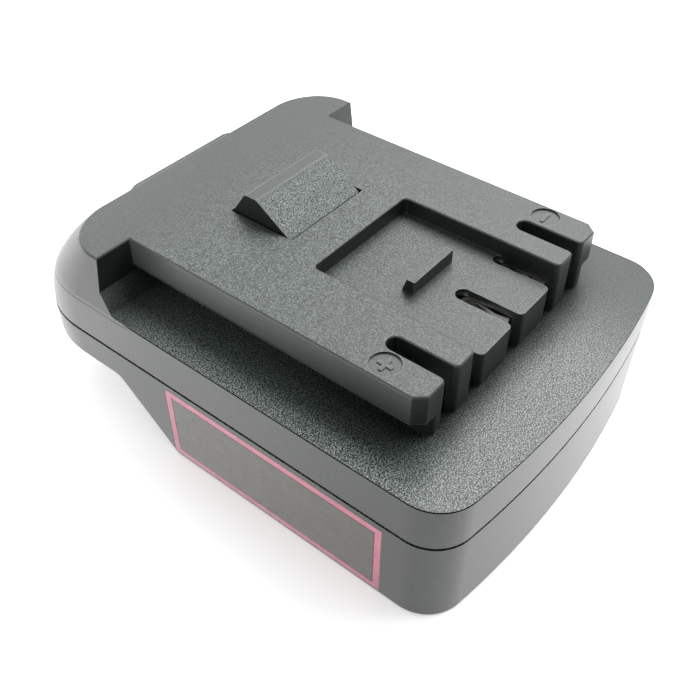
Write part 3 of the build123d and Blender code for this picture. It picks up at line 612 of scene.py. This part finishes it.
# Every finish with its maker and what the maker is told: for plastics the colour, grain size, grain depth
# and contrast, for metals the colour, roughness, streak size and the axis of the streaks
# The shells' wear with painted shade and light; the latch's grain with a painted edge highlight
shell_wear_and_light = {"worn_and_shaded": True, "highlight_edges": True}
latch_wear_and_highlight = {"ridge_y": 13.8, "highlight_edges": True}
recipes = {
    "shell_plastic": (moulded_plastic, (black_plastic, 0.24, 0.07, 11.0), shell_wear_and_light),
    "latch_plastic": (moulded_plastic, (black_plastic, 0.17, 0.05, 12.5), latch_wear_and_highlight),
    "holder_plastic": (moulded_plastic, (holder_black, 0.30, 0.03, 2.2), {}),
    "chip_ceramic": (moulded_plastic, (ceramic_black, 0.12, 0.01, 2.0), {}),
    "spring_steel": (metal, (steel_grey, 0.30, 0.15, 2), {}),
    "zinc_screw": (metal, (zinc_grey, 0.34, 0.12, 2), {}),
    "black_screw": (metal, (oxide_black, 0.38, 0.12, 2), {"metallic": 0.6}),
    "plated_contact": (metal, (nickel_white, 0.20, 0.12, 1), {"painted_glint_y": (-33.5, -30.0)}),
    "solder": (metal, (solder_grey, 0.24, 0.3, 2), {}),
    "circuit_board": (circuit_board, (), {}),
    "label_film": (label_film, (), {}),
    "red_lead": (wire_cover, (lead_red,), {}),
    "yellow_lead": (wire_cover, (lead_yellow,), {}),
    "black_lead": (wire_cover, (lead_black,), {}),
}
finishes = {name: maker(name, *values, **choices) for name, (maker, values, choices) in recipes.items()}

node_finishes = {
    "upper_shell": "shell_plastic", "lower_shell": "shell_plastic", "release_latch": "latch_plastic",
    "contact_board": "circuit_board", "blade_holder": "holder_plastic", "side_label": "label_film",
    "blade_positive": "plated_contact", "blade_signal": "plated_contact", "blade_negative": "plated_contact",
}
for contact in contacts:
    node_finishes["clip_" + contact] = "plated_contact"


def dress(mesh, finish):
    """Gives a mesh its one finish."""
    mesh.materials.clear()
    mesh.materials.append(finishes[finish])


for node, finish in node_finishes.items():
    dress(nodes[node].data, finish)


def soften_edges(node, width_mm):
    """Rounds a CAD node's sharp edges by a hair, as a mould leaves them, so that they catch the light."""
    piece = nodes[node]
    weld = piece.modifiers.new("join_faces", "WELD")
    weld.merge_threshold = weld_gap * MM
    flat = piece.modifiers.new("one_face_per_plane", "DECIMATE")
    flat.decimate_type = "DISSOLVE"
    flat.angle_limit = math.radians(flat_angle)
    bevel = piece.modifiers.new("mould_edge", "BEVEL")
    bevel.width = width_mm * MM
    bevel.segments = bevel_segments
    bevel.limit_method = "ANGLE"
    bevel.angle_limit = math.radians(sharp_angle)
    even = piece.modifiers.new("even_shading", "WEIGHTED_NORMAL")
    even.keep_sharp = True


def free_mesh(name, shape):
    """A named mesh from a finished shape, which is let go."""
    mesh = bpy.data.meshes.new(name)
    shape.to_mesh(mesh)
    shape.free()
    return mesh


def turned_mesh(name, rings, flat_foot=False):
    """A smooth closed mesh through rings, each a list of radius and height for every side in millimetres."""
    shape = bmesh.new()
    sides = len(rings[0])
    rows = []
    for ring in rings:
        row = []
        for side, (radius, height) in enumerate(ring):
            angle = 2 * math.pi * side / sides
            place = Vector((radius * math.cos(angle), radius * math.sin(angle), height))
            row.append(shape.verts.new(place * MM))
        rows.append(row)
    if flat_foot:
        shape.faces.new(list(reversed(rows[0])))
    for low, high in zip(rows, rows[1:]):
        for side in range(sides):
            after = (side + 1) % sides
            shape.faces.new((low[side], low[after], high[after], high[side]))
    bmesh.ops.remove_doubles(shape, verts=shape.verts, dist=merge_gap * MM)
    bmesh.ops.recalc_face_normals(shape, faces=shape.faces)
    mesh = free_mesh(name, shape)
    mesh.shade_smooth()
    return mesh


def turn_over(mesh):
    """Mirrors a mesh at its seat, so that it hangs down."""
    mesh.transform(Matrix.Scale(-1, 4, (0, 0, 1)))
    mesh.flip_normals()


def within_unit(value):
    """A value kept between nought and one."""
    return max(0.0, min(1.0, value))


def screw_mesh(name, head_radius, head_height, shank_radius, length, pitch):
    """One pan-head screw with a cross recess and a rolled thread, its seat at zero and its tip up."""
    rings = [[(0.0, -head_height * recess_depth)] * screw_sides]
    for step in range(1, head_rings + 1):
        share = step / head_rings
        dome = -head_height * (1 - head_dome * share ** 3)
        ring = []
        for side in range(screw_sides):
            angle = 2 * math.pi * side / screw_sides
            narrow, wide = sorted((share * abs(math.cos(angle)), share * abs(math.sin(angle))))
            arm = within_unit((recess_arm[0] - narrow) / recess_arm[1])
            reach = within_unit((recess_reach[0] - wide) / recess_reach[1])
            ring.append((head_radius * share, dome + head_height * recess_depth * arm * reach))
        rings.append(ring)
    root = shank_radius * thread_root
    rim = [(head_radius, -head_rim * head_height), (head_radius * head_taper, 0.0), (root, 0.0)]
    rings.extend([point] * screw_sides for point in rim)
    rows = int(length / pitch * thread_rows)
    for row in range(1, rows + 1):
        height = length * row / rows
        taper = min(1.0, (length - height) / (tip_taper[0] * shank_radius) + tip_taper[1])
        ring = []
        for side in range(screw_sides):
            phase = (height / pitch - side / screw_sides) % 1
            crest = max(0.0, 1 - abs(phase - 0.5) * 4)
            ring.append((taper * (root + (shank_radius - root) * crest), height))
        rings.append(ring)
    rings.append([(0.0, length)] * screw_sides)
    return turned_mesh(name, rings)


def chip_mesh(name, length, width, height):
    """A chip resistor with its two end caps, the caps a little thicker than the body."""
    shape = bmesh.new()
    end = length / 2
    inner = end - chip_cap
    for low, high, trim in ((-end, -inner, 0.0), (-inner, inner, chip_step), (inner, end, 0.0)):
        size = (width - 2 * trim, high - low, height - trim)
        place = (0, (low + high) / 2, size[2] / 2)
        bmesh.ops.create_cube(shape, size=1.0, matrix=Matrix.Translation(place) @ Matrix.Diagonal((*size, 1)))
    bmesh.ops.bevel(shape, geom=shape.edges, offset=chip_rounding, segments=2, affect="EDGES", profile=0.5)
    bmesh.ops.scale(shape, vec=(MM, MM, MM), verts=shape.verts)
    return free_mesh(name, shape)


def joint_mesh(name, radius, height):
    """A small solder joint that swells out at its foot."""
    rings = [[(radius * share, height * rise)] * joint_sides for share, rise in joint_outline]
    return turned_mesh(name, rings, flat_foot=True)


def start_growth(name, sockets):
    """A Geometry Nodes tree with named inputs and one geometry output."""
    tree = bpy.data.node_groups.new(name, "GeometryNodeTree")
    for label, kind in sockets:
        tree.interface.new_socket(label, in_out="INPUT", socket_type="NodeSocket" + kind)
    tree.interface.new_socket("Geometry", in_out="OUTPUT", socket_type="NodeSocketGeometry")
    return tree, tree.nodes.new("NodeGroupInput").outputs


def end_growth(tree, geometry, finish):
    """Makes the copies real, gives them their finish and hands them out."""
    real = add(tree, "GeometryNodeRealizeInstances", {"Geometry": geometry})
    finished = add(tree, "GeometryNodeSetMaterial", {"Geometry": real.outputs[0], "Material": finish})
    tree.links.new(finished.outputs[0], tree.nodes.new("NodeGroupOutput").inputs[0])
    return tree


def copies_tree():
    """Geometry Nodes that put one copy of a piece on every point."""
    sockets = (("Geometry", "Geometry"), ("Copy of", "Object"), ("Finish", "Material"))
    tree, entry = start_growth("copies_on_points", sockets)
    info = add(tree, "GeometryNodeObjectInfo", {"Object": entry["Copy of"]})
    inputs = {"Points": entry["Geometry"], "Instance": info.outputs["Geometry"]}
    placed = add(tree, "GeometryNodeInstanceOnPoints", inputs)
    return end_growth(tree, placed.outputs[0], entry["Finish"])


def spring_tree():
    """Geometry Nodes for a compression spring whose end turns close up."""
    sockets = [(size, "Float") for size in ("Turns", "Coil radius", "Wire radius", "Height", "End closing")]
    tree, entry = start_growth("compression_spring", sockets + [("Finish", "Material")])
    inputs = {
        "Resolution": spring_steps, "Rotations": entry["Turns"], "Height": entry["Height"],
        "Start Radius": entry["Coil radius"], "End Radius": entry["Coil radius"],
    }
    coil = add(tree, "GeometryNodeCurveSpiral", inputs)
    along = tree.nodes.new("GeometryNodeSplineParameter").outputs["Factor"]
    wave = calc(tree, "SINE", product(tree, along, 2 * math.pi))
    shift = calc(tree, "DIVIDE", product(tree, wave, entry["Height"], entry["End closing"]), -2 * math.pi)
    offset = add(tree, "ShaderNodeCombineXYZ", {2: shift}).outputs[0]
    closed = add(tree, "GeometryNodeSetPosition", {"Geometry": coil.outputs[0], "Offset": offset})
    inputs = {"Resolution": spring_sides, "Radius": entry["Wire radius"]}
    section = add(tree, "GeometryNodeCurvePrimitiveCircle", inputs)
    inputs = {"Curve": closed.outputs[0], "Profile Curve": section.outputs[0], "Fill Caps": True}
    tube = add(tree, "GeometryNodeCurveToMesh", inputs)
    smooth = add(tree, "GeometryNodeSetShadeSmooth", {"Geometry": tube.outputs[0]})
    return end_growth(tree, smooth.outputs[0], entry["Finish"])


def set_down(source, name):
    """A plain mesh object of what a source object evaluates to, in place of the source."""
    bpy.context.scene.collection.objects.link(source)
    bpy.context.view_layer.update()
    graph = bpy.context.evaluated_depsgraph_get()
    mesh = bpy.data.meshes.new_from_object(source.evaluated_get(graph), depsgraph=graph)
    bpy.data.objects.remove(source)
    mesh.name = name
    piece = bpy.data.objects.new(name, mesh)
    bpy.context.scene.collection.objects.link(piece)
    return piece


def grown(name, tree, values, start_mesh=None):
    """A plain mesh object made by a Geometry Nodes tree with the given inputs."""
    source = bpy.data.objects.new(name + "_source", start_mesh or bpy.data.meshes.new(name + "_start"))
    modifier = source.modifiers.new("grow", "NODES")
    modifier.node_group = tree
    sockets = {item.name: item.identifier for item in tree.interface.items_tree if item.in_out == "INPUT"}
    for label, value in values.items():
        modifier[sockets[label]] = value
    return set_down(source, name)


def copies(name, pattern_mesh, places, finish, tree):
    """Copies of one mesh at the given places, as one piece."""
    pattern = bpy.data.objects.new(name + "_pattern", pattern_mesh)
    points = bpy.data.meshes.new(name + "_points")
    points.from_pydata([Vector(place) * MM for place in places], [], [])
    piece = grown(name, tree, {"Copy of": pattern, "Finish": finishes[finish]}, points)
    bpy.data.objects.remove(pattern)
    return piece


def stand_for(piece, node):
    """Puts a piece on the case in place of a CAD node."""
    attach(piece, "case")
    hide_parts(node)


copy_tree = copies_tree()
coil_tree = spring_tree()

for name, (node, sizes, places, finish, points_down) in screw_sets.items():
    screw = screw_mesh(name + "_mesh", *sizes)
    if points_down:
        turn_over(screw)
    stand_for(copies(name, screw, places, finish, copy_tree), node)

chips = copies("resistor_chips", chip_mesh("chip_mesh", *chip_size), chip_places, "chip_ceramic", copy_tree)
stand_for(chips, "board_resistors")

spring_sizes = {
    "Turns": spring_turns, "Coil radius": spring_radius * MM, "Wire radius": spring_wire * MM,
    "Height": (spring_top - spring_seat - 2 * spring_wire) * MM, "End closing": spring_end_closing,
    "Finish": finishes["spring_steel"],
}
for name, (x, y) in spring_places.items():
    spring = grown(name.replace("latch", "button"), coil_tree, spring_sizes)
    spring.data.transform(Matrix.Translation(Vector((x, y, spring_seat + spring_wire)) * MM))
    stand_for(spring, name)
    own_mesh(spring)


def lead_piece(node, low_x, high_x, radius, finish):
    """An insulated lead on one smooth curve from a blade's tail to the board."""
    line = bpy.data.curves.new(node, "CURVE")
    line.dimensions = "3D"
    line.bevel_depth = radius * MM
    line.bevel_resolution = lead_roundness
    line.resolution_u = lead_smoothness
    line.use_fill_caps = True
    spline = line.splines.new("NURBS")
    run = [
        (low_x, lead_low_y, lead_heights[0]), (low_x, lead_low_y, lead_heights[1]),
        (high_x, lead_high_y, lead_heights[2]), (high_x, lead_high_y, lead_heights[3]),
    ]
    spline.points.add(len(run) - 1)
    for point, place in zip(spline.points, run):
        point.co = (*(Vector(place) * MM), 1.0)
    spline.order_u = 3
    spline.use_endpoint_u = True
    piece = set_down(bpy.data.objects.new(node + "_line", line), node.replace("lead", "wire"))
    piece.data.shade_smooth()
    dress(piece.data, finish)
    stand_for(piece, node)


low_ends = []
high_ends = []
for node, (low_x, high_x, radius, finish) in lead_runs.items():
    lead_piece(node, low_x, high_x, radius, finish)
    low_ends.append((low_x, lead_low_y, lead_heights[0]))
    high_ends.append((high_x, lead_high_y, lead_heights[3]))
low_joints = copies("blade_joints", joint_mesh("blade_joint_mesh", *low_joint), low_ends, "solder", copy_tree)
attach(low_joints, "case")
hanging_joint = joint_mesh("board_joint_mesh", *high_joint)
turn_over(hanging_joint)
high_joints = copies("board_joints", hanging_joint, high_ends, "solder", copy_tree)
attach(high_joints, "case")

for node in ("upper_shell", "lower_shell", "release_latch"):
    soften_edges(node, shell_bevel)
for contact in contacts:
    soften_edges("clip_" + contact, clip_bevel)


def place_camera():
    """The camera of the photograph."""
    azimuth, elevation, roll = (math.radians(a) for a in (camera_azimuth, camera_elevation, camera_roll))
    level = math.cos(elevation)
    back = Vector((math.sin(azimuth) * level, -math.cos(azimuth) * level, math.sin(elevation)))
    right = Vector((math.cos(azimuth), math.sin(azimuth), 0))
    up = back.cross(right)
    tilted_right = right * math.cos(roll) + up * math.sin(roll)
    tilted_up = up * math.cos(roll) - right * math.sin(roll)
    data = bpy.data.cameras.new("photo_camera")
    data.lens = camera_lens
    data.sensor_width = camera_sensor
    data.clip_start, data.clip_end = camera_sight
    camera = bpy.data.objects.new("photo_camera", data)
    bpy.context.scene.collection.objects.link(camera)
    turn = Matrix((tilted_right, tilted_up, back)).transposed().to_4x4()
    camera.matrix_world = Matrix.Translation(Vector(camera_place) * MM) @ turn
    bpy.context.scene.camera = camera


def seen_directly(tree):
    """One where a camera, mirror or glass ray looks, nought for the rays that light the object."""
    path = tree.nodes.new("ShaderNodeLightPath")
    seen = calc(tree, "MAXIMUM", path.outputs["Is Camera Ray"], path.outputs["Is Glossy Ray"])
    return calc(tree, "MAXIMUM", seen, path.outputs["Is Transmission Ray"])


def light_room(fill):
    """An even pale room, white where it is looked at."""
    world = bpy.data.worlds.new("white_room")
    bpy.context.scene.world = world
    world.use_nodes = True
    tree = world.node_tree
    tree.nodes.clear()
    strength = calc(tree, "MULTIPLY_ADD", seen_directly(tree), 1.0 - fill, fill)
    sky = add(tree, "ShaderNodeBackground", {"Color": (1, 1, 1, 1), "Strength": strength})
    add(tree, "ShaderNodeOutputWorld", {"Surface": sky.outputs[0]})


def soft_lamp(name, azimuth, elevation, away, width, height, power):
    """A soft box at a distance from the part, its direction in degrees from +X and from the floor."""
    data = bpy.data.lights.new(name, "AREA")
    data.shape = "RECTANGLE"
    data.size = width
    data.size_y = height
    data.energy = power
    lamp = bpy.data.objects.new(name, data)
    bpy.context.scene.collection.objects.link(lamp)
    around, rise = math.radians(azimuth), math.radians(elevation)
    toward = Vector((math.cos(around) * math.cos(rise), math.sin(around) * math.cos(rise), math.sin(rise)))
    lamp.location = toward * away
    lamp.rotation_mode = "QUATERNION"
    lamp.rotation_quaternion = (-toward).to_track_quat("-Z", "Y")


def lay_floor():
    """A pale floor with the part's soft shade, mirrored a little darker in front of the near corner."""
    mesh = bpy.data.meshes.new("studio_floor")
    corners = [(x * floor_reach, y * floor_reach, 0) for x, y in ((-1, -1), (1, -1), (1, 1), (-1, 1))]
    mesh.from_pydata(corners, [], [(0, 1, 2, 3)])
    floor = bpy.data.objects.new("studio_floor", mesh)
    bpy.context.scene.collection.objects.link(floor)
    material, tree, surface, coordinates = start_material("studio_paper")
    surface.inputs["Base Color"].default_value = floor_colour
    surface.inputs["Roughness"].default_value = floor_roughness
    surface.inputs["Specular IOR Level"].default_value = 0.0
    surface.inputs["Emission Color"].default_value = (1, 1, 1, 1)
    path = tree.nodes.new("ShaderNodeLightPath").outputs
    white = ramp(tree, openness(tree, shade_reach, samples=8), *shade_openness, floor_shaded, floor_white)
    inputs = {0: coordinates.outputs["Object"], 1: Vector(dim_place) * MM}
    away = add(tree, "ShaderNodeVectorMath", inputs, operation="DISTANCE").outputs["Value"]
    bright = fade(tree, away, *dim_reach, dim_share, 1.0)
    mirrored = product(tree, path["Is Glossy Ray"], bright, floor_mirrored)
    glow = calc(tree, "MULTIPLY_ADD", path["Is Camera Ray"], white, mirrored)
    feed(tree, surface, {"Emission Strength": glow})
    mesh.materials.append(material)


place_camera()
light_room(room_fill)
for name, box in lamps.items():
    soft_lamp(name, *box)
lay_floor()
bpy.context.scene.view_settings.view_transform = "Standard"
